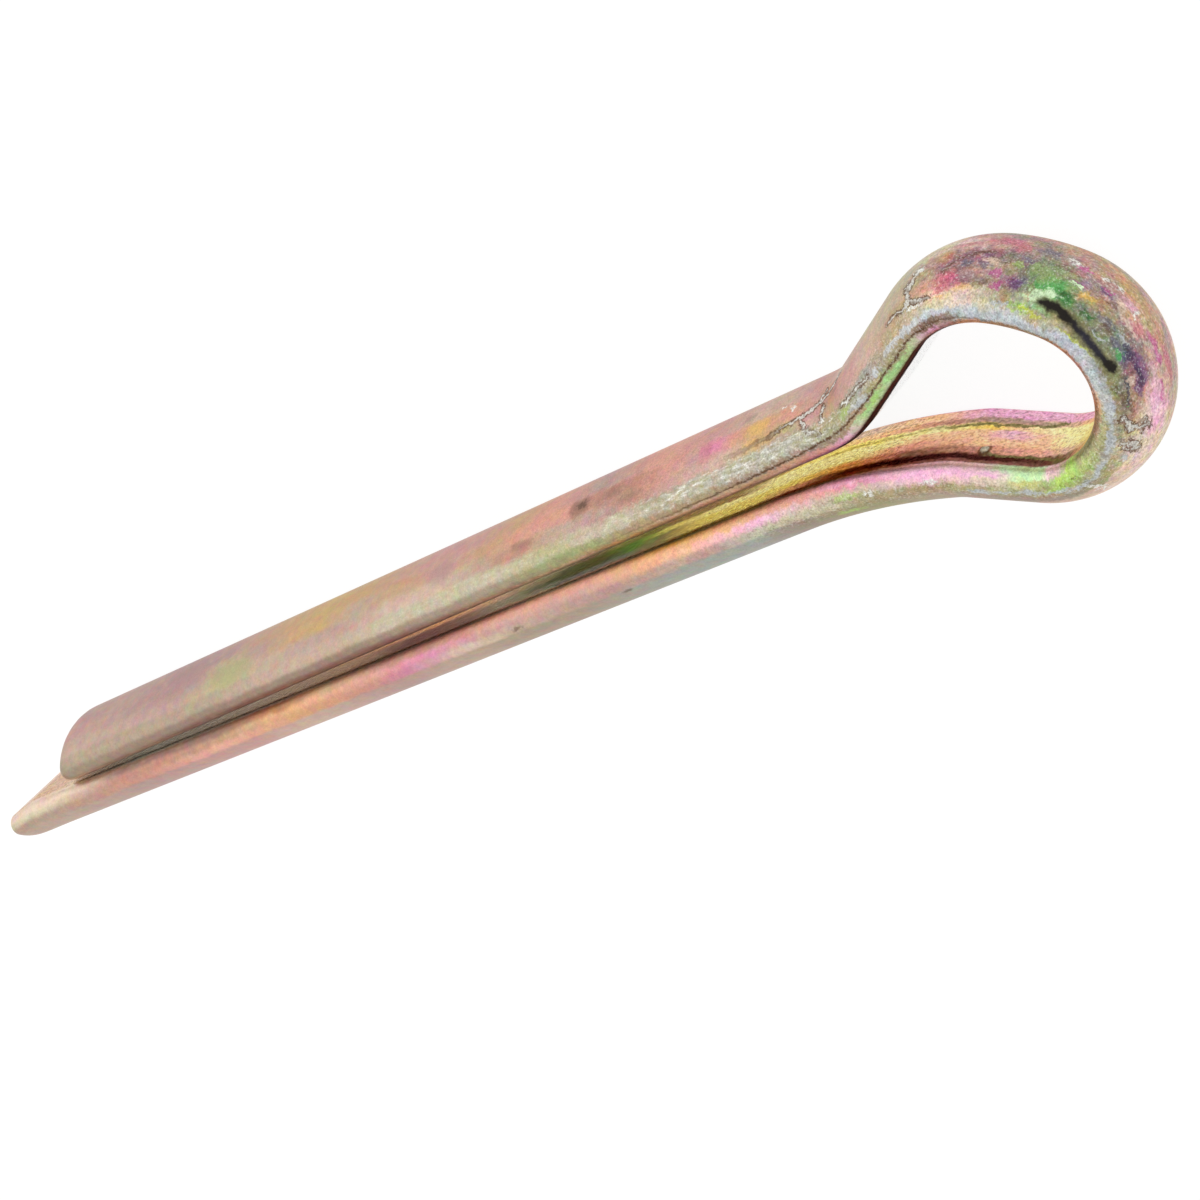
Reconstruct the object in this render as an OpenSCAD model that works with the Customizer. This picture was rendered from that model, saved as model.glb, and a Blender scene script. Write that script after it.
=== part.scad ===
// Cotter pin: one length of half-round wire, bent back flat to flat into a shank with an eye.
//
// The pin lies on its side, as it comes to rest. X runs along the shank, from the tips at -X to
// the eye at +X. Z is the axis of the eye's opening. The flats of the two legs face each other
// across the plane y = 0. The origin is midway between the flats, where the short leg starts
// to bend outwards into the eye.
//
// The wire follows one path: the line that its flat follows, made of straight runs and arcs that
// meet tangent. It starts at the end of the short leg and ends at the end of the long one, and
// the round side of the wire is on the path's left all the way.

/* [Wire] */
// Width across the wire, over its rounded corners
wire_width = 4.5; // [4.2:0.05:5]
// Thickness from the flat to the crown of the round side
wire_thickness = 1.85; // [1.7:0.05:2]
// Radius of the corners between the flat and the round side
corner_radius = 0.55; // [0.3:0.05:0.65]

/* [Legs] */
// Length of the short leg, from its end to the start of the neck
short_leg = 40; // [20:1:80]
// How far the long leg reaches past the end of the short one
long_leg_reach = 4.35; // [2:0.05:5.5]
// Gap between the two flats at the neck
neck_gap = 0.7; // [0.5:0.05:1.2]
// Gap between the two flats at the end of the short leg
tip_gap = 0.1; // [0.05:0.05:0.4]

/* [Leg ends] */
// Radius that rounds the short leg's end over from the crown to its end face
short_end_crown = 1.55; // [0.4:0.05:1.6]
// Radius of the two corners of the short leg's end, seen square to the flat
short_end_corner = 1.3; // [0.4:0.05:1.8]
// Length of the slope that thins the long leg's end on its flat side
nose_slope = 2.2; // [1.8:0.1:6]
// Thickness that the slope leaves at the long leg's end
nose_thickness = 1.4; // [0.8:0.05:1.6]
// Radius that rounds that end over
nose_round = 0.35; // [0.1:0.05:0.4]
// Radius of the two corners of the long leg's end, seen square to the flat
nose_corner = 1.15; // [0.4:0.05:1.6]

/* [Neck] */
// Turn of the easy bend that starts the neck on the short leg, in degrees
short_easy_turn = 7; // [4:1:12]
// Radius of that easy bend
short_easy_radius = 7; // [4:0.5:20]
// Turn of the sharp bend that follows it, in degrees
short_sharp_turn = 20; // [14:1:26]
// Radius of that sharp bend
short_sharp_radius = 3; // [2.4:0.1:5]
// Turn of the easy bend that ends the neck on the long leg, in degrees
long_easy_turn = 16; // [10:1:20]
// Radius of that easy bend
long_easy_radius = 23; // [14:1:30]
// Turn of the sharper bend before it, in degrees
long_sharp_turn = 9; // [5:1:14]
// Radius of that sharper bend
long_sharp_radius = 4.5; // [3:0.5:9]

/* [Eye] */
// Straight run from the neck up to the shoulder of the eye
eye_rise = 3.35; // [2.4:0.05:4.5]
// Inside radius of the shoulder
shoulder_radius = 2.7; // [2.2:0.05:3.2]
// Turn of the shoulder, in degrees
shoulder_turn = 57; // [48:1:64]
// Inside radius of the easier bend between the shoulder and the end of the eye
brow_radius = 6; // [4:0.25:8]
// Turn of that easier bend, in degrees
brow_turn = 17; // [10:1:24]
// Inside radius of the end of the eye, which turns the wire back towards the legs
end_radius = 2.3; // [2:0.05:2.8]

/* [Hidden] */
// An arc of the path has a ring of points at least this often, in degrees
bend_step = 6;
// Steps in the section: from the flat to the wire's side, from there to the crown arc, and along it
corner_steps = 3;
shoulder_steps = 2;
crown_steps = 10;
// Steps that round the two ends of the wire over
end_steps = 7;

// --- The section, as [depth from the flat, place across the flat] ---
half_width = wire_width / 2;
// Half the width of the flat itself, between the corners
flat_half = half_width - corner_radius;
// The round side is one arc that meets both corners tangent
crown_radius = (pow(flat_half, 2) + pow(wire_thickness - corner_radius, 2) - pow(corner_radius, 2))
    / (2 * (wire_thickness - 2 * corner_radius));
crown_centre = wire_thickness - crown_radius;
crown_reach = atan2(flat_half, corner_radius - crown_centre);

// Points on an arc, from one angle to another
function arc_points(centre, radius, from, to, steps) =
    [for (k = [0:steps]) let (a = from + (to - from) * k / steps)
        centre + radius * [cos(a), sin(a)]];
function without_start(points) = [for (i = [1:len(points) - 1]) points[i]];

// Half of the section, from the flat round one corner and up to the crown
half_section = concat(
    arc_points([corner_radius, flat_half], corner_radius, 180, 90, corner_steps),
    without_start(arc_points([corner_radius, flat_half], corner_radius, 90, crown_reach, shoulder_steps)),
    without_start(arc_points([crown_centre, 0], crown_radius, crown_reach, 0, crown_steps / 2)));
section = concat(
    [for (p = half_section) [p[0], -p[1]]],
    [for (i = [len(half_section) - 2:-1:0]) half_section[i]]);

// --- The path: each step is [length, 0] for a straight run, or [radius, turn] for an arc ---
// Each leg leans by this much, so the gap closes from the neck to the tip
lean = atan((neck_gap - tip_gap) / 2 / short_leg);
short_run = short_leg / cos(lean);

// The end of the eye makes up the turn that is left of the whole way round
end_turn = 180 + 2 * lean + short_easy_turn + short_sharp_turn
    + long_sharp_turn + long_easy_turn - shoulder_turn - brow_turn;

// A place is [x, y, heading]. Where a step that starts at a place ends
function ahead(h) = [cos(h), sin(h)];
function left(h) = [-sin(h), cos(h)];
function spot(place) = [place[0], place[1]];
function after(place, step) =
    step[1] == 0
    ? let (p = spot(place) + step[0] * ahead(place[2])) [p[0], p[1], place[2]]
    : let (h = place[2] + step[1],
           p = spot(place) + sign(step[1]) * step[0] * (left(place[2]) - left(h))) [p[0], p[1], h];
// The places where each of a list of steps starts, and where the last one ends
function places(steps, place, i = 0) =
    i == len(steps) ? [place] : concat([place], places(steps, after(place, steps[i]), i + 1));

short_tip = [-short_leg, tip_gap / 2, lean];
way_round = [
    [short_run, 0],
    [short_easy_radius, short_easy_turn],
    [short_sharp_radius, short_sharp_turn],
    [eye_rise, 0],
    [shoulder_radius, -shoulder_turn],
    [brow_radius, -brow_turn],
    [end_radius, -end_turn],
];
long_neck = [
    [long_sharp_radius, long_sharp_turn],
    [long_easy_radius, long_easy_turn],
];

// The run back to the neck is as long as brings the long leg opposite the short one
turned = places(way_round, short_tip)[len(way_round)];
unspaced = places(long_neck, turned)[len(long_neck)];
astray = unspaced[0] * sin(lean) + (unspaced[1] + neck_gap / 2) * cos(lean);
run_back = -astray / (cos(turned[2]) * sin(lean) + sin(turned[2]) * cos(lean));

bends = concat(way_round, [[run_back, 0]], long_neck);
long_neck_end = places(bends, short_tip)[len(bends)];
long_run = (long_neck_end[0] + short_leg + long_leg_reach) / cos(lean);

// --- Rings of points: one section at each place along the path ---
// Distances from an end at which its rounding has a ring, up to the given reach
function end_distances(reach) = [for (k = [0:end_steps]) reach * (1 - cos(90 * k / end_steps))];
short_end_reach = max(short_end_crown, short_end_corner);
nose_reach = max(nose_round, nose_corner);

// How much a rounded edge of the given radius takes off, at a distance from the end
function rounded_off(distance, radius) =
    distance >= radius ? 0 : radius - sqrt(pow(radius, 2) - pow(radius - distance, 2));

// The section between two depths and with another half width, as [depth, across]
function trimmed(low, high, half) =
    [for (p = section)
        [low + p[0] * (high - low) / wire_thickness, p[1] * half / half_width]];

// A section carried to its place
function ring(place, outline) =
    [for (p = outline) let (q = spot(place) + p[0] * left(place[2])) [q[0], q[1], p[1]]];

short_end_rings = [for (d = end_distances(short_end_reach))
    ring(after(short_tip, [d, 0]),
        trimmed(0, wire_thickness - rounded_off(d, short_end_crown),
            half_width - rounded_off(d, short_end_corner)))];

function nose_floor(distance) =
    max(0, (wire_thickness - nose_thickness) * (1 - distance / nose_slope));
nose_distances = concat([nose_slope], [for (k = [end_steps:-1:0]) end_distances(nose_reach)[k]]);
nose_rings = [for (d = nose_distances)
    ring(after(long_neck_end, [long_run - d, 0]),
        trimmed(nose_floor(d) + rounded_off(d, nose_round),
            wire_thickness - rounded_off(d, nose_round),
            half_width - rounded_off(d, nose_corner)))];

// Rings along one step: one at its start, and one at each division of an arc
function step_rings(place, step) =
    let (count = step[1] == 0 ? 1 : ceil(abs(step[1]) / bend_step))
    [for (k = [0:count - 1])
        ring(step[1] == 0 || k == 0 ? place : after(place, [step[0], step[1] * k / count]),
            section)];

bend_places = places(bends, short_tip);
bend_rings = [for (i = [1:len(bends) - 1]) each step_rings(bend_places[i], bends[i])];

rings = concat(short_end_rings, bend_rings, [ring(long_neck_end, section)], nose_rings);

// The two caps are the first and last rings, and the skin joins each ring to the next
module wire_body() {
    around = len(section);
    last = len(rings) - 1;
    skin = [for (i = [0:last - 1], j = [0:around - 1])
        let (a = i * around + j, b = i * around + (j + 1) % around, c = a + around, d = b + around)
        each [[a, b, d], [a, d, c]]];
    first_cap = [for (j = [around - 1:-1:0]) j];
    last_cap = [for (j = [0:around - 1]) last * around + j];
    polyhedron(points = [for (r = rings) each r], faces = concat([first_cap], skin, [last_cap]));
}

module cotter_pin() {
    color([0.72, 0.58, 0.42])
        wire_body();
}

cotter_pin();
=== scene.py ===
# %% [markdown]
# # A split cotter pin, from the straight wire to the finished plating
#
# A cotter pin is one length of half-round wire, folded flat side to flat side, so that two
# half-round legs make one round shank and the fold makes an eye. This file bends the wire,
# shapes its two ends and gives it its yellow passivated zinc plating. Everything is in metres
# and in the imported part's own frame: X runs along the shank, Z is the axis of the eye.

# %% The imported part
import bpy, math
from mathutils import Matrix, Vector


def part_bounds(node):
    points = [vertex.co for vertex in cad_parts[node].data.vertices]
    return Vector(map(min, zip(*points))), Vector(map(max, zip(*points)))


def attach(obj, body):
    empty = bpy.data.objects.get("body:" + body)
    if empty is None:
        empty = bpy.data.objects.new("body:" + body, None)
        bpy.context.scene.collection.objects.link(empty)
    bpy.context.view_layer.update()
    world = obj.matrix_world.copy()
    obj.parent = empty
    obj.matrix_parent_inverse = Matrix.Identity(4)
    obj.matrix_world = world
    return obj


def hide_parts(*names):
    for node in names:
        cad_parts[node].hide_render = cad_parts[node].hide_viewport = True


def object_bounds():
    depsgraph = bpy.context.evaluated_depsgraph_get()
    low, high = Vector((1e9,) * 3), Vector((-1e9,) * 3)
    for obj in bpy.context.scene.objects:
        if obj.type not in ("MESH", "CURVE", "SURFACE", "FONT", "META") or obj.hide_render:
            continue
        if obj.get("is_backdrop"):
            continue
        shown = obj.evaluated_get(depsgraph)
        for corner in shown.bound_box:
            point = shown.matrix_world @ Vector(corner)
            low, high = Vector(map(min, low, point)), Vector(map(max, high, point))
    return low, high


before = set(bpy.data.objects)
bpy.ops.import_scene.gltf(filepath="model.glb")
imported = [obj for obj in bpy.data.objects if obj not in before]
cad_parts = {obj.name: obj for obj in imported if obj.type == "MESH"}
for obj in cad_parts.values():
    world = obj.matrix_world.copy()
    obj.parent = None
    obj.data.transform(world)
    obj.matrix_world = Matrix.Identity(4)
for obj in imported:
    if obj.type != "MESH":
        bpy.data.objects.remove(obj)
part_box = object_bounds()
pin_low, pin_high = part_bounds("cotter_pin")
MM = 0.001
print("part, mm:", [round(v / MM, 2) for v in (*pin_low, *pin_high)])

# %% [markdown]
# ## Formulas in node trees
#
# Both the shape and the finish are worked out by node trees. A long chain of Math nodes is hard
# to read as code, so a Term wraps one socket and turns ordinary arithmetic into those nodes.
# The same class serves geometry and shader trees, because both have the same Math node.

# %% A value in a node tree
class Term:
    """One value in a node tree, which ordinary arithmetic turns into Math nodes."""
    def __init__(self, tree, socket):
        self.tree, self.socket = tree, socket

    def math(self, operation, *others):
        sum_node = self.tree.nodes.new("ShaderNodeMath")
        sum_node.operation = operation
        for slot, value in zip(sum_node.inputs, (self, *others)):
            feed(self.tree, slot, value)
        return Term(self.tree, sum_node.outputs[0])

    def __add__(self, other): return self.math("ADD", other)
    def __sub__(self, other): return self.math("SUBTRACT", other)
    def __mul__(self, other): return self.math("MULTIPLY", other)
    def __truediv__(self, other): return self.math("DIVIDE", other)
    def __rsub__(self, other): return self.math("MULTIPLY_ADD", -1.0, other)
    def sin(self): return self.math("SINE")
    def cos(self): return self.math("COSINE")
    def sqrt(self): return self.math("SQRT")
    def squared(self): return self * self
    def above(self, low): return self.math("MAXIMUM", low)
    def below(self, high): return self.math("MINIMUM", high)
    def clipped(self): return self.above(0.0).below(1.0)


def feed(tree, socket, value):
    """Links a Term or a socket to an input, or sets the input to a plain value."""
    if isinstance(value, Term):
        value = value.socket
    if isinstance(value, bpy.types.NodeSocket):
        tree.links.new(value, socket)
    else:
        socket.default_value = value


def node(tree, kind, inputs=(), **settings):
    """Adds a node, with its settings and its inputs by name or number."""
    made = tree.nodes.new(kind)
    for name, value in settings.items():
        setattr(made, name, value)
    for name, value in dict(inputs).items():
        feed(tree, made.inputs[name], value)
    return made

print("ready: arithmetic on sockets of any node tree")

# %% [markdown]
# ## The sizes of the wire and of its bends
#
# A wire bender works from a list: feed so much, turn so many degrees on such a radius, feed
# again. The shape could also be drawn as points, but then no size could be changed by itself.
# The list below goes from the end of the short leg, round the eye, to the end of the long leg.
# A plus turn is to the left, towards the round side of the wire.

# %% The bending list
WIRE = {"Wire width": 4.5, "Wire thickness": 1.85, "Corner radius": 0.55}
SHORT_LEG, LONG_REACH, NECK_GAP, TIP_GAP = 40.0, 4.35, 0.7, 0.1
lean = math.atan((NECK_GAP - TIP_GAP) / 2 / SHORT_LEG)

def run(length): return ("run", length, 0.0)
def bend(radius, degrees): return ("bend", radius, math.radians(degrees))

short_side = {
    "Short leg": run(SHORT_LEG / math.cos(lean)),
    "Short easy bend": bend(7, 7),
    "Short sharp bend": bend(3, 20),
    "Rise": run(3.35),
    "Shoulder": bend(2.7, -57),
    "Brow": bend(6, -17),
}
long_neck = {"Long sharp bend": bend(4.5, 9), "Long easy bend": bend(23, 16)}
turned_so_far = sum(t for _, _, t in (*short_side.values(), *long_neck.values()))
short_side["Eye end"] = bend(2.3, -math.degrees(math.pi + 2 * lean + turned_so_far))

def follow(steps, x, y, heading):
    """The place and the heading at the end of some steps."""
    for kind, size, turn in steps.values():
        if kind == "run":
            x, y = x + size * math.cos(heading), y + size * math.sin(heading)
        else:
            side = math.copysign(size, turn)
            x += side * (math.sin(heading + turn) - math.sin(heading))
            y -= side * (math.cos(heading + turn) - math.cos(heading))
            heading += turn
    return x, y, heading

tip_place = (-SHORT_LEG, TIP_GAP / 2, lean)
turned = follow(short_side, *tip_place)
unspaced = follow(long_neck, *turned)
astray = unspaced[0] * math.sin(lean) + (unspaced[1] + NECK_GAP / 2) * math.cos(lean)
run_back = -astray / (math.cos(turned[2]) * math.sin(lean) + math.sin(turned[2]) * math.cos(lean))
steps = {**short_side, "Run back": run(run_back), **long_neck}
neck_end = follow(steps, *tip_place)
steps["Long leg"] = run((neck_end[0] + SHORT_LEG + LONG_REACH) / math.cos(lean))
wire_length = sum(size if kind == "run" else size * abs(turn) for kind, size, turn in steps.values())
end_x = follow(steps, *tip_place)[0]
print(f"run back {run_back:.3f} mm, wire {wire_length:.3f} mm, end at x {end_x:.3f}")

# %% [markdown]
# ## A line that has been bent
#
# The heading of a bent wire changes evenly inside each bend and not at all between them. So the
# heading at a distance along it is a sum of ramps, one for each bend, and the position is the
# running sum of many short strides, each taken in its own heading. Accumulate Field adds them
# up. The outline of the wire's section is a bent line too, so one function makes both.

# %% Bent lines from ramps and running sums
def bent_line(tree, steps, count, first_heading=0.0, start=(0, 0, 0), closed=False):
    """A curve of count points through (kind, size, turn) steps, with its distance and heading."""
    total, bends = 0.0, []
    for kind, size, turn in steps:
        length = size if kind == "run" else size * turn.math("ABSOLUTE")
        if kind == "bend":
            bends.append((total, length, turn))
        total = length + total
    stride = total / (count if closed else count - 1)
    distance = Term(tree, node(tree, "GeometryNodeInputIndex").outputs[0]) * stride

    def heading_at(place):
        heading = first_heading
        for begins, length, turn in bends:
            heading = ((place - begins) / length).clipped() * turn + heading
        return heading

    midway = heading_at(distance + stride * 0.5)
    pace = node(tree, "ShaderNodeCombineXYZ", {"X": midway.cos() * stride, "Y": midway.sin() * stride})
    walked = node(tree, "GeometryNodeAccumulateField", data_type="FLOAT_VECTOR")
    feed(tree, walked.inputs["Value"], pace.outputs[0])
    place = node(tree, "ShaderNodeVectorMath", {0: walked.outputs["Trailing"], 1: start},
                 operation="ADD")
    line = node(tree, "GeometryNodeCurvePrimitiveLine")
    points = node(tree, "GeometryNodeResampleCurve", {"Curve": line.outputs[0], "Count": count})
    bent = node(tree, "GeometryNodeSetPosition",
                {"Geometry": points.outputs[0], "Position": place.outputs[0]})
    return bent.outputs[0], distance, heading_at(distance), total


def stored(tree, geometry, **fields):
    """Keeps each field on the points under its own name."""
    for name, value in fields.items():
        kind = "FLOAT" if isinstance(value, Term) else "FLOAT_VECTOR"
        keep = node(tree, "GeometryNodeStoreNamedAttribute",
                    {"Geometry": geometry, "Name": name}, data_type=kind)
        feed(tree, keep.inputs["Value"], value)
        geometry = keep.outputs[0]
    return geometry


def recalled(tree, name):
    """A field that was stored before."""
    return Term(tree, node(tree, "GeometryNodeInputNamedAttribute", {"Name": name}).outputs[0])

print("bends to be made:", [name for name, (kind, _, _) in steps.items() if kind == "bend"])

# %% [markdown]
# ## The section
#
# The wire is drawn half round: a flat, two small corners and one shallow crown between them.
# The crown's radius isn't free, because it has to meet both corners without a kink, so it is
# worked out from the width, the thickness and the corner radius.
# Each point keeps how far round the outline it lies, from the crown, and where it lies in the
# plain unbent wire. The plating's pattern is laid out in those, so it bends with the wire.

# %% The half-round outline
def half_round(tree, width, thickness, corner, count):
    """The section as a closed curve, with the place of each point on it stored."""
    flat_half = width / 2 - corner
    rise = thickness - corner
    crown = (flat_half * flat_half + rise * rise - corner * corner) / ((thickness - corner * 2) * 2)
    reach = flat_half.math("ARCTAN2", corner - thickness + crown)
    corner_turn = math.pi - reach
    steps = [("run", flat_half, None), ("bend", corner, corner_turn), ("bend", crown, reach * 2),
             ("bend", corner, corner_turn), ("run", flat_half, None)]
    outline, distance, _, total = bent_line(tree, steps, count, first_heading=math.pi / 2, closed=True)
    here = node(tree, "ShaderNodeSeparateXYZ", {0: node(tree, "GeometryNodeInputPosition").outputs[0]})
    x, y = Term(tree, here.outputs["X"]), Term(tree, here.outputs["Y"])
    side = (distance - total / 2).math("ABSOLUTE")
    outline = stored(tree, outline, side=side, depth=x * -1.0, across=y * -1.0)
    closed = node(tree, "GeometryNodeSetSplineCyclic", {"Geometry": outline, "Cyclic": True})
    return closed.outputs[0]

width, thickness, corner = WIRE.values()
crown_rise, flat_half = thickness - corner, width / 2 - corner
crown_radius = (flat_half ** 2 + crown_rise ** 2 - corner ** 2) / (2 * (crown_rise - corner))
print(f"flat {2 * flat_half:.2f} mm wide, crown radius {crown_radius:.2f} mm")

# %% [markdown]
# ## The two ends
#
# The short leg is sheared off square and tumbled, so its end is rounded over. The long leg is
# pinched to a slope on its flat side, so that a screwdriver or plier can get between the legs.
# Boolean cuts would leave sharp seams, so the rings near each end are moved instead: along the
# wire, so that they crowd together where the end rounds over, and in towards the section's
# middle by what the rounding takes off there.

# %% Rounding over
def crowded(distance, reach):
    """Even distances from an end, respaced so that the last ones crowd together."""
    share = (distance / reach).below(1.0)
    return distance + (1.0 - (share * (math.pi / 2)).cos() - share) * reach


def taken_off(distance, radius):
    """How much an edge of this radius takes off, at a distance from the end."""
    left = (radius - distance).above(0.0)
    return radius - (radius * radius - left * left).above(0.0).sqrt()

ENDS = {"Short end crown": 1.55, "Short end corner": 1.3, "Nose slope": 2.2,
        "Nose thickness": 1.4, "Nose round": 0.35, "Nose corner": 1.15}
print("sizes of the ends, mm:", ENDS)

# %% [markdown]
# ## Shaping the swept wire
#
# The ends are shaped after the sweep, by a shift of each ring in its own plane and along the
# wire. The same shift raises the one grown nodule of plate that stands on the long leg's flat,
# inside the eye: a dome, so that it is there in the mesh and not only in the finish.

# %% Shaping the ends and the nodule
NODULE = {"Nodule along": 57.9, "Nodule across": 1.0, "Nodule radius": 0.25, "Nodule height": 0.1}

def shaping_shift(tree, size, length):
    """How far each point of the swept wire moves, to round the ends over and raise the nodule."""
    along, heading, depth, across = (recalled(tree, n) for n in ("along", "heading", "depth", "across"))
    thickness, half_width = size["Wire thickness"], size["Wire width"] / 2
    short_reach = size["Short end crown"].above(size["Short end corner"])
    nose_reach = size["Nose round"].above(size["Nose corner"])
    from_short, from_long = crowded(along, short_reach), crowded(length - along, nose_reach)
    slope = ((thickness - size["Nose thickness"]) * (1.0 - from_long / size["Nose slope"])).above(0.0)
    low = slope + taken_off(from_long, size["Nose round"])
    high = thickness - taken_off(from_long, size["Nose round"])
    high = high - taken_off(from_short, size["Short end crown"])
    half = half_width - taken_off(from_long, size["Nose corner"])
    half = half - taken_off(from_short, size["Short end corner"])
    forward = from_short - along - (from_long - (length - along))
    away = (along - size["Nodule along"]).squared() + (across - size["Nodule across"]).squared()
    dome = (1.0 - away / size["Nodule radius"].squared()).above(0.0).sqrt() * size["Nodule height"]
    on_flat = depth.math("LESS_THAN", 0.01)
    inward = low + depth * (high - low) / thickness - depth - dome * on_flat
    shift = node(tree, "ShaderNodeCombineXYZ", {
        "X": heading.cos() * forward - heading.sin() * inward,
        "Y": heading.sin() * forward + heading.cos() * inward,
        "Z": across * (half / half_width) - across})
    return shift.outputs[0]

print("size of the nodule, mm:", NODULE)

# %% [markdown]
# ## One tree for the whole wire
#
# Every size of the lists above becomes a named input of one tree. Curve to Mesh sweeps the
# section along the bent line. It lays the outline's X to the right of the path and its Y
# downwards, which is why half_round turns both signs. Nothing here is random, so the tree needs
# no seed. It ends in Realize Instances and Set Material, as every tree for export should.

# %% Named inputs
RINGS, POINTS_AROUND = 812, 100

def named_inputs(tree, steps):
    """Gives the tree an input for each size, and returns the input node and its sizes as Terms."""
    sizes = {**WIRE, **ENDS, **NODULE, "Tip heading": lean,
             "Rings": RINGS, "Points around": POINTS_AROUND}
    for name, (kind, size, turn) in steps.items():
        sizes[name + (" length" if kind == "run" else " radius")] = size
        if kind == "bend":
            sizes[name + " turn"] = turn
    tree.interface.new_socket("Geometry", in_out="INPUT", socket_type="NodeSocketGeometry")
    for name, value in sizes.items():
        kind = "NodeSocketInt" if isinstance(value, int) else "NodeSocketFloat"
        tree.interface.new_socket(name, in_out="INPUT", socket_type=kind).default_value = value
    tree.interface.new_socket("Tip place", in_out="INPUT", socket_type="NodeSocketVector")
    tree.interface.new_socket("Finish", in_out="INPUT", socket_type="NodeSocketMaterial")
    given = node(tree, "NodeGroupInput")
    return given, {name: Term(tree, given.outputs[name]) for name in sizes}

print(RINGS, "rings of", POINTS_AROUND, "points each")

# %% The wire tree
def wire_tree(steps):
    """Geometry Nodes that sweep, shape and finish the wire."""
    tree = bpy.data.node_groups.new("bent wire", "GeometryNodeTree")
    given, size = named_inputs(tree, steps)
    tree.interface.new_socket("Geometry", in_out="OUTPUT", socket_type="NodeSocketGeometry")
    wire_steps = [
        (kind, size[name + (" length" if kind == "run" else " radius")], size.get(name + " turn"))
        for name, (kind, _, _) in steps.items()]
    path, along, heading, length = bent_line(tree, wire_steps, size["Rings"], size["Tip heading"],
                                             given.outputs["Tip place"])
    path = stored(tree, path, along=along, heading=heading)
    upright = node(tree, "GeometryNodeSetCurveNormal", {"Curve": path}, mode="Z_UP")
    outline = half_round(tree, size["Wire width"], size["Wire thickness"], size["Corner radius"],
                         size["Points around"])
    swept = node(tree, "GeometryNodeCurveToMesh",
                 {"Curve": upright.outputs[0], "Profile Curve": outline, "Fill Caps": True})
    shaped = node(tree, "GeometryNodeSetPosition",
                  {"Geometry": swept.outputs[0], "Offset": shaping_shift(tree, size, length)})
    metres = node(tree, "GeometryNodeTransform",
                  {"Geometry": shaped.outputs[0], "Scale": (MM, MM, MM)})
    smooth = node(tree, "GeometryNodeSetShadeSmooth", {"Geometry": metres.outputs[0]})
    real = node(tree, "GeometryNodeRealizeInstances", {"Geometry": smooth.outputs[0]})
    finish = node(tree, "GeometryNodeSetMaterial",
                  {"Geometry": real.outputs[0], "Material": given.outputs["Finish"]})
    node(tree, "NodeGroupOutput", {0: finish.outputs[0]})
    return tree

bent_wire_tree = wire_tree(steps)
print("wire tree:", len(bent_wire_tree.nodes), "nodes,",
      len(bent_wire_tree.interface.items_tree) - 1, "named inputs")

# %% [markdown]
# ## The plating
#
# Zinc plate is dipped in a chromate bath, which leaves a clear film less than a thousandth of a
# millimetre thick. Light reflected from its two faces interferes, so the film shows colours
# that follow its thickness: straw, gold, salmon, pink, violet, green, and round again. It is
# uneven because the bath drains, dries in drops and is rubbed off by other pins in the barrel.
# An image texture could hold such a pattern, but it would have to be unwrapped and couldn't
# follow a change of size. Here every mark is a rule in the wire's own coordinates.

# %% The film's colours
# Besides the film's own colours, the pure white here stands for a painted reflection and the near-white
# green for a painted highlight; wine, maroon, umber and dusk also serve as painted shade.
FILM = {
    "rose": (188, 157, 148), "mauve": (178, 145, 143), "sand": (192, 168, 150),
    "stone": (178, 158, 138), "drab": (168, 144, 127), "dusk": (157, 124, 111), "clay": (216, 168, 148),
    "khaki": (187, 178, 138), "apricot": (200, 165, 130), "honey": (203, 172, 122),
    "blush": (202, 160, 151), "coral": (216, 161, 144), "brick": (189, 142, 125),
    "pink": (220, 146, 170), "raspberry": (200, 112, 132), "magenta": (196, 84, 152),
    "orchid": (240, 186, 212), "peach": (228, 176, 134), "salmon": (242, 186, 166),
    "shell": (205, 178, 160), "bone": (196, 184, 158), "pearl": (204, 198, 180),
    "cream": (212, 202, 172), "ivory": (228, 204, 184), "chalk": (238, 238, 230),
    "glare": (255, 255, 255), "zinc": (196, 201, 204), "lead": (168, 168, 158), "lime": (178, 216, 108),
    "acid": (204, 214, 74), "leaf": (180, 218, 150), "mint": (204, 240, 186), "glow": (226, 255, 208),
    "moss": (163, 156, 112), "willow": (174, 171, 126), "olive": (140, 136, 98),
    "grass": (146, 176, 112), "green": (92, 176, 98), "fern": (70, 122, 70), "sage": (140, 146, 118),
    "tan": (184, 160, 126), "hay": (184, 164, 120), "taupe": (160, 142, 126), "umber": (136, 106, 92),
    "bark": (104, 76, 56), "wine": (96, 60, 56), "maroon": (154, 112, 102), "plum": (154, 116, 122),
    "violet": (112, 74, 128), "slate": (116, 114, 134), "ink": (62, 56, 84), "bronze": (184, 130, 92),
    "butter": (255, 236, 160), "lemon": (255, 244, 190), "petal": (246, 204, 210),
    "gilt": (250, 212, 116), "straw": (244, 230, 158), "amber": (244, 192, 98),
    "flesh": (252, 208, 172), "coal": (44, 42, 52), "soot": (30, 24, 16),
}

def colour(name):
    """A named film colour, from screen values to the linear ones that nodes use."""
    linear = [((c / 255 + 0.055) / 1.055) ** 2.4 for c in FILM[name]]
    return (*linear, 1.0)

print("film colours:", len(FILM))

# %% [markdown]
# ## The nodes that draw a finish
#
# A mark on metal is a mask and a colour. The mask is worked out from distances: Map Range with
# smooth steps turns a distance into a soft or a hard edge. The colour is mixed over what lies
# below, in the order in which it came on the real wire: film, drops, cracks, wear, dirt. Five
# kinds of node do most of it, so each has a short function.

# %% Nodes of the finish
plating = bpy.data.materials.new("plated wire")
plating.use_nodes = True
coat = plating.node_tree
shader = coat.nodes["Principled BSDF"]

def attribute(name):
    return Term(coat, node(coat, "ShaderNodeAttribute", attribute_name=name).outputs["Fac"])

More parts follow.
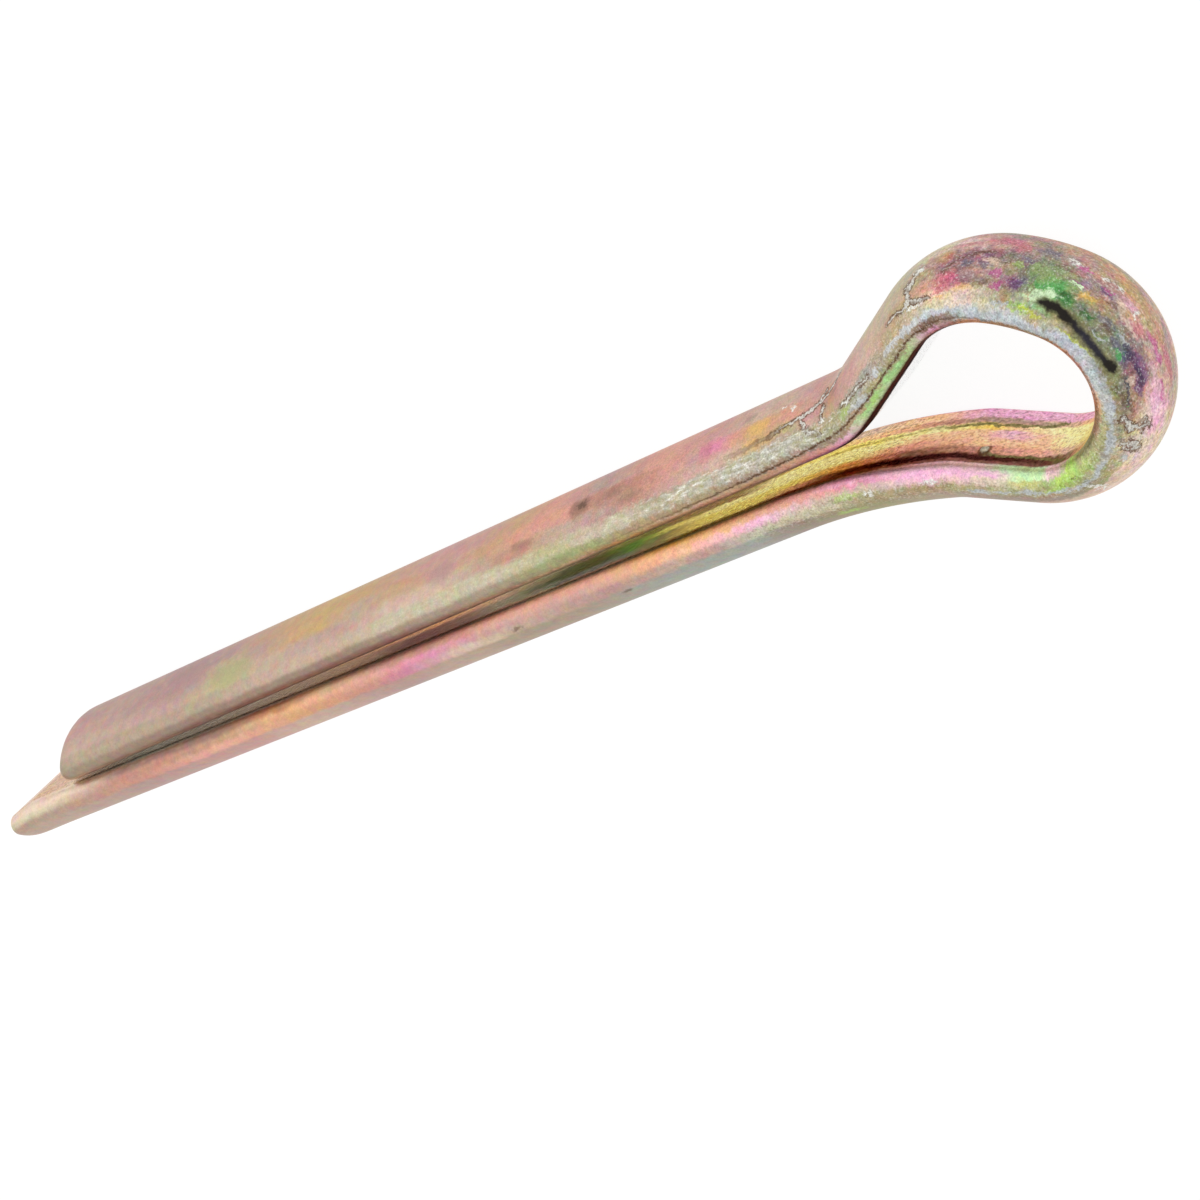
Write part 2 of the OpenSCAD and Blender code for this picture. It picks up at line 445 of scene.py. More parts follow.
def vector(x, y, z):
    return node(coat, "ShaderNodeCombineXYZ", {0: x, 1: y, 2: z}).outputs[0]

def cloud(place, scale, detail, roughness):
    return node(coat, "ShaderNodeTexNoise",
                {"Vector": place, "Scale": scale, "Detail": detail, "Roughness": roughness})

def noise(place, scale, detail, roughness):
    return Term(coat, cloud(place, scale, detail, roughness).outputs[0])

def step_up(value, low, high, to_low=0.0, to_high=1.0):
    """0 below low, 1 above high, and smooth between."""
    made = node(coat, "ShaderNodeMapRange", {"Value": value, "From Min": low, "From Max": high,
                                             "To Min": to_low, "To Max": to_high},
                interpolation_type="SMOOTHSTEP", clamp=False)
    return Term(coat, made.outputs[0])

def between(value, low, high, soft):
    return step_up(value, low - soft, low + soft) * step_up(value, high + soft, high - soft)

def over(under, top, mask, blend="MIX"):
    """Lays one colour over another where the mask is 1."""
    top = colour(top) if isinstance(top, str) else top
    under = colour(under) if isinstance(under, str) else under
    made = node(coat, "ShaderNodeMix", {0: mask, 6: under, 7: top},
                data_type="RGBA", blend_type=blend)
    return made.outputs[2]

def so_far(what):
    print(what + ":", len(coat.nodes), "nodes so far")

so_far("material")

# %% [markdown]
# ## Where on the wire
#
# Two coordinates place every mark, both in millimetres: along, from the end of the short leg,
# and around, from the crown, with the upper side plus. The crown ends 2.4 mm round, and the
# flat starts at 3.6. Grain and mottle need three coordinates, or they would show a seam, so
# they use the place in the unbent wire, stretched round the eye as the crown was by the bend.
# Three noises of different size shift the two coordinates a little, so that no mark has a ruled
# edge. Near the eye, where the marks are small, the finer noises count for more.

# %% Wire coordinates
along, true_side = attribute("along"), attribute("side")
across, depth = attribute("across"), attribute("depth")
around = true_side * across.math("SIGN")
SHOULDER_AT, EYE_LENGTH, CROWN_STRETCH = 45.2, 10.9, 0.5
stretched = along + (along - SHOULDER_AT).above(0.0).below(EYE_LENGTH) * CROWN_STRETCH
unbent = vector(stretched, across, depth)
on_eye = between(along, 46.3, 54.2, 0.7)

def shifts(scale):
    """Two noises between about -0.5 and 0.5, to shift a place along and around."""
    apart = node(coat, "ShaderNodeSeparateColor", {0: cloud(unbent, scale, 2.0, 0.6).outputs["Color"]})
    return [Term(coat, apart.outputs[k]) - 0.5 for k in (0, 1)]

slow_s, slow_q = shifts(0.9)
quick_s, quick_q = shifts(3.2)
fast_s, fast_q = shifts(9.0)
underside = step_up(around, 0.0, -2.0)
s = along + slow_s * (1.2 - on_eye * 0.8) + quick_s * 0.7 + fast_s * 0.35
near_eye = between(along, 27.0, 69.0, 7.0)
q = around + slow_q * 0.30 + quick_q * (near_eye * 0.26 + 0.12) + fast_q * (near_eye * 0.25 + 0.03)
film_s = s + underside * 3.0
film_q = q.math("ABSOLUTE")
side = true_side + slow_q * 0.06 + quick_q * 0.08 + fast_q * 0.06
mark_s, mark_q = along + quick_s * 0.5 + fast_s * 0.32, around + quick_q * 0.4 + fast_q * 0.26
line_s, line_q = along + quick_s * 0.4 + fast_s * 0.3, around + quick_q * 0.25 + fast_q * 0.22
so_far("coordinates")

# %% [markdown]
# ## Films laid down in lanes
#
# The wire drains along its length, so its film changes slowly in lanes that run along it: the
# crown, the shoulder beside it, the worn line, and the lip where the crown turns to the flat.
# Each lane is written as a list of places in millimetres and of the colours found there, and
# becomes one Color Ramp. The lanes are then laid side by side, each fading into the next.

# %% Lanes
def lane(text, where=film_s):
    """A colour that changes along the wire, from a list such as '0 rose, 8.5 mauve'."""
    stops = [(float(place), name) for place, name in (stop.split() for stop in text.split(","))]
    first, last = stops[0][0], stops[-1][0]
    made = node(coat, "ShaderNodeValToRGB", {0: (where - first) / (last - first)})
    elements = made.color_ramp.elements
    for k, (place, name) in enumerate(stops):
        share = (place - first) / (last - first)
        element = elements[k] if k < 2 else elements.new(share)
        element.position, element.color = share, colour(name)
    return made.outputs[0]

def side_by_side(place, *lanes):
    """Lays lanes across the wire: a lane, then where it fades and the next lane, and so on."""
    laid = lanes[0]
    for (low, high), top in zip(lanes[1::2], lanes[2::2]):
        laid = over(laid, top, step_up(place, low, high))
    return laid

print("lanes: each list of places and colours becomes one Color Ramp")

# %% [markdown]
# ## The short leg
#
# The leg hung straight in the bath, so its film is quiet: rose and apricot on the crown, with
# blooms of gold and mauve where the bath ran unevenly, and a paler shoulder that its neighbours
# in the barrel have rubbed. Seven lanes lie side by side from the crown to the lip. The same
# film is drawn on the underside, moved along a little so that the two sides aren't mirrored.

# %% Film of the short leg
short_film = side_by_side(
    film_q,
    lane("0 rose, 6 rose, 8.3 mauve, 11 rose, 14 apricot, 16.3 honey, 19 apricot, 22 blush, 24 blush,"
         " 26.5 apricot, 28 coral, 30.5 rose, 33 coral, 36 blush, 38 shell, 40.5 blush, 42 shell,"
         " 44 bone, 46 bone"),
    (0.7, 1.15),
    lane("0 blush, 4 rose, 8 mauve, 9.5 rose, 11.2 khaki, 13 rose, 14.5 apricot, 16.5 honey, 18.3 sand,"
         " 20.5 apricot, 22.8 blush, 25 apricot, 27 coral, 29 coral, 30.5 brick, 32.3 brick,"
         " 33.6 coral, 34.8 blush, 35.6 pink, 36.5 coral, 37.8 honey, 39 coral, 40.2 blush, 41.2 brick,"
         " 42.5 blush, 44 shell, 45.8 bone"),
    (1.4, 1.85),
    lane("0 sand, 8 rose, 11 khaki, 13.5 sand, 18 rose, 20 shell, 22.5 shell, 24 sand, 26.7 brick,"
         " 28.5 sand, 30.5 rose, 32.2 brick, 34 blush, 36.5 shell, 38 honey, 39 khaki, 40 blush,"
         " 41 tan, 42.5 blush, 44 shell, 46 tan"),
    (2.05, 2.3),
    lane("0 stone, 10 stone, 14 sand, 18 sand, 20 bone, 26 bone, 28.3 khaki, 30 bone, 34 bone,"
         " 37 pearl, 39 pearl, 40.5 khaki, 42 moss, 43 lead, 45.5 tan"),
    (2.62, 2.80),
    lane("0 stone, 5 drab, 18 drab, 22 stone, 25 stone, 27.5 willow, 30.5 willow, 32 tan, 35 tan,"
         " 38 drab, 40 drab, 42 tan, 44 willow, 46 drab"),
    (2.92, 3.05),
    lane("0 stone, 5 drab, 9 dusk, 19 dusk, 22 drab, 24.5 tan, 26 drab, 28 willow, 30 hay, 32 hay,"
         " 34 shell, 37 apricot, 40 coral, 41.2 orchid, 42.3 leaf, 45 leaf, 45.8 cream, 46.5 orchid"),
    (3.12, 3.28),
    lane("0 shell, 5 sand, 9 rose, 20 rose, 24 shell, 29 cream, 31.5 bone, 33.5 shell, 38 ivory,"
         " 41 orchid, 42.3 mint, 45 mint, 45.8 chalk, 46.5 orchid"))
so_far("short leg")

# %% [markdown]
# ## The eye
#
# The eye was bent first and dipped last, so drops hung and dried on it. Its film runs through
# every colour within a few millimetres, and the two rubbed bands at its edge are bare zinc.

# %% Film of the eye
eye_film = side_by_side(
    q,
    lane("45.5 cream, 46.7 cream, 47.3 ivory, 47.9 blush, 48.6 rose, 49.2 taupe, 49.8 rose,"
         " 50.7 apricot, 51.5 apricot, 52.1 sand, 52.8 shell, 53.5 ivory, 56.5 ivory"),
    (0.2, 0.6),
    lane("45.4 bone, 46.3 bone, 46.9 brick, 47.4 plum, 48 plum, 48.5 taupe, 49.2 sage, 49.8 taupe,"
         " 50.5 mauve, 51.1 shell, 51.8 blush, 52.3 shell, 52.8 orchid, 53.4 ivory, 56.5 ivory"),
    (0.85, 1.1),
    lane("45.4 tan, 46.3 khaki, 46.8 brick, 47.4 plum, 48 blush, 48.6 taupe, 49.0 sage, 49.4 grass,"
         " 49.9 grass, 50.4 hay, 51 taupe, 51.6 plum, 52.2 rose, 52.7 orchid, 53.4 ivory, 56.5 ivory"),
    (1.3, 1.55),
    lane("45.4 tan, 46.3 tan, 46.8 coral, 47.2 raspberry, 47.5 plum, 48 rose, 48.7 plum, 49.1 sage,"
         " 49.4 grass, 49.9 green, 50.3 sage, 51 sage, 51.4 slate, 51.8 plum, 52.3 brick, 52.8 shell,"
         " 53.4 ivory, 55 shell, 56.5 ivory"),
    (1.8, 2.0),
    lane("45.4 bone, 46.4 bone, 46.9 salmon, 47.5 ivory, 48 cream, 48.6 tan, 49.05 bone, 49.35 leaf,"
         " 49.7 leaf, 50 olive, 50.5 olive, 51.2 sage, 51.8 sage, 52.3 taupe, 52.9 tan, 53.4 bone,"
         " 54.3 moss, 55.3 taupe, 56.5 taupe"),
    (2.18, 2.38),
    lane("45.4 pearl, 46.3 bone, 46.9 cream, 47.5 ivory, 48.1 cream, 48.6 tan, 49.1 lime, 49.5 khaki,"
         " 49.9 bone, 50.5 moss, 51.5 olive, 52.1 moss, 52.8 taupe, 53.4 bone, 54 moss, 54.7 lead,"
         " 55.3 tan, 56.5 taupe"),
    (2.46, 2.6),
    lane("45.4 lead, 46.3 zinc, 47.3 zinc, 48 pearl, 48.8 zinc, 49.6 khaki, 50.3 zinc, 50.9 zinc,"
         " 51.6 lead, 52.3 zinc, 53.2 lead, 54 bone, 54.7 willow, 55.3 lime, 55.9 khaki, 56.5 khaki"),
    (2.66, 2.78),
    lane("45.4 stone, 46.3 umber, 47.0 taupe, 47.6 zinc, 51.8 zinc, 52.4 bone, 53 willow, 53.7 willow,"
         " 55.1 lime, 55.6 willow, 56.5 cream"),
    (2.98, 3.12),
    lane("45.5 pearl, 46.3 orchid, 46.9 rose, 47.5 peach, 48.4 apricot, 49.4 bone, 50.3 peach, 51 clay,"
         " 51.7 ivory, 52.2 peach, 53 tan, 53.6 moss, 54.2 willow, 54.8 lime, 55.1 bone, 55.4 petal,"
         " 55.9 mint, 57 mint"))

so_far("eye")

# %% [markdown]
# ## The long leg
#
# The long leg was rubbed less than the short one, so its lip kept a brighter film, pink and mint
# beside the eye and orange further on. Its shoulder is dull olive and grey.
# The three films are joined where the wire turns into the eye and out of it.

# %% Film of the long leg
long_film = side_by_side(
    film_q,
    lane("55 taupe, 56 taupe, 59 stone, 62 moss, 65 taupe, 67 lead, 71 lead, 75 stone, 78 stone,"
         " 81 sand, 84 rose, 89 shell, 92 blush, 98 rose, 104 sand"),
    (2.3, 2.55),
    lane("55 willow, 56 khaki, 58 khaki, 60 tan, 62.3 khaki, 63.2 cream, 65 cream, 67 pearl,"
         " 68.5 blush, 70 shell, 73 blush, 77 shell, 80 ivory, 83 pink, 85 coral, 89 peach, 93 salmon,"
         " 98 coral, 104 sand"),
    (2.66, 2.92),
    lane("55 lime, 56 acid, 56.8 cream, 58 ivory, 59.5 orchid, 62 bone, 63.5 shell, 66 orchid,"
         " 69 salmon, 71 peach, 74 blush, 79 blush, 82.3 pink, 85 coral, 89 peach, 92 apricot,"
         " 96 brick, 99 brick, 102 shell, 104 cream"),
    (2.94, 3.16),
    lane("55 leaf, 56.4 mint, 57.3 orchid, 60 orchid, 62 pink, 64.5 coral, 67.5 peach, 71.5 peach,"
         " 74 coral, 78 coral, 81 brick, 84 brick, 87 apricot, 90 bronze, 93 dusk, 99 dusk, 101 shell,"
         " 102.5 ivory, 105 ivory"),
    (3.14, 3.36),
    lane("55 petal, 56 mint, 56.9 mint, 57.7 petal, 59.5 petal, 62.5 orchid, 65 coral, 67.5 peach,"
         " 70 amber, 73 salmon, 76 salmon, 80 coral, 84 brick, 87 apricot, 90 bronze, 94 drab, 98 sand,"
         " 102 shell, 105 ivory"))
# From here the colour holds the film with painted light laid in: painted reflections on the rise,
# painted shade of the gap, a painted highlight on the green drop, and painted highlight and shade on
# the nodule and the peel.
film_and_painted_light = over(short_film, eye_film, step_up(along, 45.3, 46.6))
film_and_painted_light = over(film_and_painted_light, long_film, step_up(along, 55.2, 57.0))
so_far("round side")

# %% [markdown]
# ## The flats
#
# The two flats face each other, so little of the bath reached them and hardly anything has
# rubbed them. Their film is thick and clean, gold over salmon, and it darkens through green to
# brown where the legs almost touch. The dark maroon, wine and umber band along their edge, up to
# about 65 mm, is painted shade of the narrow gap between the legs. From about 67 to 73 mm the
# tan and moss on the far half of a flat is partly film and partly painted shadow of the short
# leg's lip. The place on a flat is counted on round the outline: 3.6 mm at its edge and 5.34 in
# its middle. The film of the hidden flat, and of the flats' far ends, is a plain bright one.
#
# Each flat lights the other, which makes their colours stronger. So the colours here are paler
# than they come out.

# %% Film and painted shade of the flats
FLAT_MIDDLE = 5.34
flat_place = FLAT_MIDDLE - across + slow_q * 0.35 + quick_q * 0.25 + fast_q * 0.2
# Painted shade of the gap between the legs: the maroon, wine, umber and dusk in the lanes nearest the
# edge. The tan and moss from about 67 to 73 mm on the far half is partly film and partly painted shadow
# of the short leg's lip.
flat_film_and_painted_shade = side_by_side(
    flat_place,
    lane("53 bronze, 54.6 taupe, 55.6 umber, 57 maroon, 62.5 maroon, 65 maroon, 67.5 hay, 70 hay,"
         " 72.5 shell, 76 ivory, 80 rose, 84 sand, 88 ivory, 98 chalk, 103 ivory, 107 ivory", s),
    (3.66, 3.82),
    lane("53 peach, 54.6 stone, 55.7 umber, 56.6 wine, 61 wine, 63 umber, 64.5 clay, 66.5 butter,"
         " 69 butter, 70.8 khaki, 72.5 lead, 75 lead, 78 pearl, 80.5 rose, 83 mauve, 86 ivory,"
         " 98 chalk, 103 ivory, 107 ivory", s),
    (4.02, 4.3),
    lane("53 straw, 54.6 ivory, 56.3 salmon, 58 coral, 59.4 brick, 60.6 dusk, 61.6 coral, 63 peach,"
         " 65 butter, 69 butter, 70.8 khaki, 72.2 grass, 73.2 sage, 74.5 olive, 76 sage, 78.5 pearl,"
         " 81 rose, 83 mauve, 86 ivory, 98 chalk, 103 ivory, 107 ivory", s),
    (4.5, 4.85),
    lane("53 lemon, 55 lemon, 56 flesh, 58.5 flesh, 60.3 salmon, 61.3 salmon, 62.8 lemon, 68 lemon,"
         " 70.5 straw, 72.3 grass, 74.2 olive, 75.6 sage, 77.5 bone, 79 ivory, 82 flesh, 90 ivory,"
         " 105 ivory", s),
    (5.02, 5.26),
    lane("53 lemon, 55.4 lemon, 56.5 flesh, 57.3 orchid, 58.5 flesh, 60.5 flesh, 62 lemon, 66.3 lemon,"
         " 68 tan, 70.5 tan, 72 moss, 73.4 willow, 75 taupe, 77 bone, 80 ivory, 105 ivory", s),
    (5.6, 5.8),
    lane("53 straw, 55 lemon, 56 lemon, 57.2 flesh, 58.2 gilt, 60 lemon, 63 butter, 65.5 butter,"
         " 67 tan, 71 tan, 74 ivory, 90 ivory, 105 ivory", s),
    (6.05, 6.25),
    lane("53 straw, 55 flesh, 56.3 shell, 58.5 rose, 60.5 clay, 62.5 flesh, 65 butter, 80 ivory,"
         " 105 ivory", s),
    (6.45, 6.65),
    lane("53 straw, 54.8 petal, 56 orchid, 58.8 orchid, 60.5 flesh, 63 ivory, 105 flesh", s))
inner = noise(vector(along * 0.5, across, depth), 0.9, 3.0, 0.55)
plain_flat = over("gilt", "straw", step_up(inner, 0.35, 0.5))
plain_flat = over(plain_flat, "salmon", step_up(inner, 0.52, 0.68))
plain_flat = over("chalk", plain_flat, step_up(along, 32.0, 46.0))
flat_film_and_painted_shade = over(plain_flat, flat_film_and_painted_shade, step_up(along, 54.0, 55.2))
# Past 62.4 mm the flats' colours, painted shade of the gap included, begin a little nearer the crown.
film_and_painted_light = over(film_and_painted_light, flat_film_and_painted_shade, step_up(side + step_up(along, 62.4, 64.0, 0.0, 0.13), 3.48, 3.6))
so_far("flats")

# %% [markdown]
# ## The rise into the eye
#
# Where the short leg climbs into the eye its flat is in the pinch of the bend. Its edge is
# painted wine-dark, a painted dark reflection, and beyond the edge the flat is made smoother and
# painted white, a painted reflection of the room.

# %% Painted reflections on the rise
rise_painted_reflection = between(along, 40.3, 47.2, 0.5) * step_up(side, 3.26, 3.36)
# Painted dark reflection: the edge of the rise's flat is coloured wine-dark.
film_and_painted_light = over(film_and_painted_light, "wine", rise_painted_reflection)
# Painted reflection of the room: beyond the edge the flat is coloured white, and it is made smoother
# below.
glare = rise_painted_reflection * step_up(flat_place, 3.95, 4.15)
film_and_painted_light = over(film_and_painted_light, "glare", glare)
so_far("rise")

# %% [markdown]
# ## Mottle
#
# Neighbouring crystals of the plate take up the bath differently, so the film's thickness
# wavers even where it looks plain. A colour noise laid on with Overlay moves the hue both ways
# and leaves the mean colour alone. It is strongest on the crown of the eye.

# %% Mottle
tinted = cloud(unbent, 2.3, 5.0, 0.72)
mottled = on_eye * step_up(side, 2.55, 2.25) * 0.45 + 0.42
film_and_painted_light = over(film_and_painted_light, tinted.outputs["Color"], mottled, "OVERLAY")
so_far("mottle")

# %% [markdown]
# ## Drops, spots and scuffs
#
# Each drop that dried left an oval of one colour, with a soft edge. Along and across an oval
# the coordinates are shifted and scaled so that it becomes a circle of radius 1. Drops of one
# colour are joined with Maximum and laid on together. An oval is written as its place along and
# around, its half length and half width, and how far it is turned, in degrees.

# %% Ovals
def oval(centre_along, centre_around, half_length, half_width, degrees=0.0):
    """1 in the middle of an oval, a half at its edge and 0 beyond."""
    c, n = math.cos(math.radians(degrees)), math.sin(math.radians(degrees))
    axes = []
    for x, y, half in ((c, n, half_length), (-n, c, half_width)):
        middle = (centre_along * x + centre_around * y) / half
        axis = -middle
        for place, share in ((mark_s, x / half), (mark_q, y / half)):
            if share:
                axis = place.math("MULTIPLY_ADD", share, axis)
        axes.append(axis)
    reach = axes[0].math("MULTIPLY_ADD", axes[0], axes[1] * axes[1])
    return step_up(reach, 1.9, 0.1)

def ovals(*places):
    """1 inside any of several ovals."""
    whole = oval(*places[0])
    for place in places[1:]:
        whole = whole.above(oval(*place))
    return whole

def drops(film_and_painted_light, name, strength, *places):
    """Dries drops of one colour on the film."""
    return over(film_and_painted_light, name, ovals(*places) * strength)

print("ready: ovals of one colour, dried on the film")

# %% [markdown]
# ## Thin film: brown, red and gold
#
# The thinnest film is straw and gold, and it goes on to brown-red and mauve. These drops are
# scattered on the short leg and lie thick in the eye. The one black speck among them is dirt.

# %% Brown, red and gold drops
film_and_painted_light = drops(film_and_painted_light, "umber", 0.7, (29.62, 1.25, 0.48, 0.38))
film_and_painted_light = drops(film_and_painted_light, "umber", 0.35, (26.8, 1.75, 0.6, 0.2), (32.0, 1.75, 0.6, 0.2),
             (31.2, 1.2, 0.45, 0.25), (37.2, 0.55, 0.25, 0.2), (41.7, 1.3, 0.3, 0.12, -20),
             (33.2, 2.3, 0.3, 0.1))
film_and_painted_light = drops(film_and_painted_light, "soot", 0.5, (29.72, 1.22, 0.2, 0.16))
film_and_painted_light = drops(film_and_painted_light, "raspberry", 0.4, (35.45, 1.35, 0.32, 0.38))
film_and_painted_light = drops(film_and_painted_light, "raspberry", 0.65, (47.05, 1.5, 0.22, 0.25), (46.95, 2.0, 0.2, 0.1),
             (48.1, -0.1, 0.42, 0.26), (48.5, 0.2, 0.2, 0.2), (47.3, 0.15, 0.35, 0.16),
             (52.1, 0.1, 0.3, 0.2), (51.3, 0.75, 0.2, 0.2), (47.1, 1.9, 0.22, 0.14))
film_and_painted_light = drops(film_and_painted_light, "mauve", 0.6, (8.7, 0.9, 0.9, 0.5), (22.8, 1.4, 0.6, 0.5), (47.55, 1.55, 0.2, 0.22),
             (38.9, 2.05, 0.5, 0.12), (50.5, 0.3, 0.3, 0.2))
film_and_painted_light = drops(film_and_painted_light, "amber", 0.38, (37.75, 1.25, 0.5, 0.3), (47.45, 1.95, 0.16, 0.14),
             (30.8, 3.3, 0.35, 0.15), (31.7, 3.3, 0.25, 0.15), (37.4, 1.75, 0.3, 0.12))
film_and_painted_light = drops(film_and_painted_light, "amber", 0.7, (50.22, 1.17, 0.13, 0.13))
so_far("thin drops")

# %% [markdown]
# ## Thicker film: yellow-green and green
#
# One large drop hung on the eye's crown beside the burnt streak and dried to a bright green
# patch with a pale edge, where the film grew thickest. Near-white ovals on the patch are a
# painted highlight.

# %% Green drops
film_and_painted_light = drops(film_and_painted_light, "acid", 0.7, (49.15, 2.38, 0.2, 0.08), (49.5, 2.46, 0.2, 0.08),
             (50.6, 2.5, 0.5, 0.05))
film_and_painted_light = drops(film_and_painted_light, "lime", 0.5, (62.6, 2.8, 0.55, 0.1), (62.9, 2.0, 0.55, 0.14),
             (43.1, 3.05, 0.3, 0.08), (48.6, 0.95, 0.12, 0.1),
             (42.0, 2.5, 0.4, 0.1))
film_and_painted_light = drops(film_and_painted_light, "willow", 0.55, (11.3, 1.75, 1.1, 0.45))
film_and_painted_light = drops(film_and_painted_light, "grass", 0.3, (28.4, 2.75, 1.0, 0.16))
film_and_painted_light = drops(film_and_painted_light, "green", 0.85, (49.6, 1.35, 0.26, 0.2), (51.4, 1.83, 0.12, 0.12),
             (49.3, 1.5, 0.16, 0.16), (52.45, 2.1, 0.05, 0.05))
film_and_painted_light = drops(film_and_painted_light, "grass", 0.6, (49.6, 0.75, 0.3, 0.12), (49.0, 0.85, 0.16, 0.16),
             (49.3, 1.1, 0.3, 0.3))
film_and_painted_light = drops(film_and_painted_light, "fern", 0.9, (49.92, 1.55, 0.2, 0.24, 20), (50.45, 1.65, 0.16, 0.12))
film_and_painted_light = drops(film_and_painted_light, "moss", 0.7, (47.78, 1.85, 0.16, 0.1), (48.5, 1.3, 0.12, 0.16))
# Painted highlight: near-white glow ovals on the green patch.
film_and_painted_light = drops(film_and_painted_light, "glow", 0.95, (49.38, 1.78, 0.26, 0.13, -30), (49.62, 1.62, 0.16, 0.1, -25),
             (49.97, 0.98, 0.12, 0.05), (49.2, 2.0, 0.16, 0.07))
so_far("green drops")

# %% [markdown]
# ## Second round of colours: violet, magenta and blue-grey
#
# Past green the colours come round again, cooler and darker. Only the eye held drops thick
# enough for them. The brown specks, on the eye and on the long leg, are dirt.

# %% Violet and dark drops
film_and_painted_light = drops(film_and_painted_light, "slate", 0.7, (47.4, 1.08, 0.12, 0.14), (47.78, 1.2, 0.12, 0.14),
             (49.1, 0.08, 0.26, 0.2), (48.73, 0.73, 0.12, 0.12), (48.85, 1.55, 0.14, 0.16),
             (50.8, 1.45, 0.2, 0.16), (51.15, 1.7, 0.2, 0.1))
film_and_painted_light = drops(film_and_painted_light, "violet", 0.7, (48.72, 1.68, 0.14, 0.24), (50.4, 0.64, 0.1, 0.12),
             (51.9, 1.36, 0.3, 0.2), (52.15, 1.6, 0.2, 0.12))
film_and_painted_light = drops(film_and_painted_light, "magenta", 0.7, (48.15, 1.4, 0.1, 0.2), (48.3, 1.85, 0.12, 0.16),
             (49.93, 0.26, 0.12, 0.12), (51.62, 0.46, 0.2, 0.12), (51.9, 0.5, 0.16, 0.1),
             (52.5, 0.7, 0.2, 0.1), (50.45, 0.55, 0.08, 0.08))
film_and_painted_light = drops(film_and_painted_light, "ink", 0.75, (51.48, 1.5, 0.18, 0.16), (51.9, 1.46, 0.24, 0.11),
             (52.1, 2.0, 0.3, 0.07, 10))
film_and_painted_light = drops(film_and_painted_light, "bark", 0.6, (52.5, 1.95, 0.14, 0.1), (52.28, 2.2, 0.26, 0.12),
             (50.9, 1.55, 0.12, 0.1), (72.5, 2.3, 0.2, 0.1), (77.5, 2.6, 0.25, 0.1),
             (54.8, 2.82, 0.06, 0.05), (52.95, 2.05, 0.05, 0.25), (51.95, 2.3, 0.1, 0.1),
             (50.65, 0.85, 0.1, 0.12), (47.95, 1.75, 0.08, 0.1))
so_far("violet drops")

# %% [markdown]
# ## Pale drops, bare zinc and white bloom
#
# Where the film is gone the zinc itself shows, pale blue-grey, most of all along the rubbed
# shoulder of the eye. White spots are the bloom that zinc grows when it stays wet. They are
# kept for later, because they lie over the cracks.

# %% Pale drops and bare zinc
film_and_painted_light = drops(film_and_painted_light, "ivory", 0.7, (50.78, 0.6, 0.14, 0.16), (52.0, 1.83, 0.12, 0.1),
             (52.75, 1.4, 0.3, 0.3), (48.0, 1.0, 0.2, 0.14), (47.0, 2.1, 0.3, 0.06),
             (51.1, 0.95, 0.16, 0.1))
film_and_painted_light = drops(film_and_painted_light, "orchid", 0.6, (52.55, 1.1, 0.2, 0.16), (50.9, 0.35, 0.2, 0.14),
             (52.3, 0.9, 0.3, 0.14))
bare_zinc = ovals((42.65, 2.74, 0.5, 0.1, 12), (43.95, 2.63, 0.22, 0.08), (45.1, 2.58, 0.4, 0.08),
                  (45.75, 2.64, 0.5, 0.1), (50.9, 1.95, 0.16, 0.06), (51.2, 1.4, 0.12, 0.08),
                  (48.5, 2.4, 0.3, 0.06), (52.5, 2.72, 0.4, 0.12, -8), (53.3, 2.6, 0.4, 0.12, -12),
                  (54.1, 2.46, 0.4, 0.1, -8), (54.8, 2.42, 0.35, 0.08), (55.3, 2.58, 0.3, 0.08),
                  (56.05, 2.63, 0.38, 0.09), (56.95, 2.56, 0.32, 0.09), (57.75, 2.52, 0.36, 0.1),
                  (53.7, 1.9, 0.12, 0.1))
film_and_painted_light = over(film_and_painted_light, "zinc", bare_zinc * 0.85)
white = ovals((39.2, 1.08, 0.16, 0.07, 50), (38.73, 0.88, 0.08, 0.05), (40.53, 2.13, 0.12, 0.1),
              (42.25, 2.28, 0.3, 0.05, 12), (49.73, 0.13, 0.1, 0.14), (50.38, 0.18, 0.07, 0.16),
              (50.62, 0.13, 0.07, 0.1), (51.1, 0.4, 0.06, 0.16), (46.4, 0.8, 0.1, 0.14),
              (54.65, 1.8, 0.06, 0.5), (59.5, 2.85, 0.28, 0.06), (61.75, 2.75, 0.2, 0.12),
              (46.2, 2.12, 0.3, 0.04, 10))
so_far("pale drops")

# %% [markdown]
# ## Cracks and trails
#
# Where the wire was bent most, the brittle plate has cracked and its edges have lifted: each
# crack is a pale ridge between two dark lines. A trail is a line through a few places, and its
# nodes give the distance to it. Each part of the trail has its own two axes, along it and
# beside it. Past the end of a part the distance grows in both, otherwise only beside it.

# %% Distance to a trail
def trail(*points, place=None):
    """The distance in millimetres to a line through the given (along, around) places."""
    here_s, here_q = place or (line_s, line_q)
    nearest = None
    for (s0, q0), (s1, q1) in zip(points, points[1:]):
        length = math.hypot(s1 - s0, q1 - q0)
        c, n = (s1 - s0) / length, (q1 - q0) / length
        mid_s, mid_q = (s0 + s1) / 2, (q0 + q1) / 2
        forward = here_s.math("MULTIPLY_ADD", c, -mid_s * c - mid_q * n)
        along_it = here_q.math("MULTIPLY_ADD", n, forward)
        sideways = here_s.math("MULTIPLY_ADD", -n, mid_s * n - mid_q * c)
        beside_it = here_q.math("MULTIPLY_ADD", c, sideways)
        past_end = (along_it.math("ABSOLUTE") - length / 2).above(0.0)
        away = past_end.math("MULTIPLY_ADD", past_end, beside_it * beside_it)
        nearest = away if nearest is None else nearest.below(away)
    return nearest.sqrt()

print("ready: the distance to a line of several places")

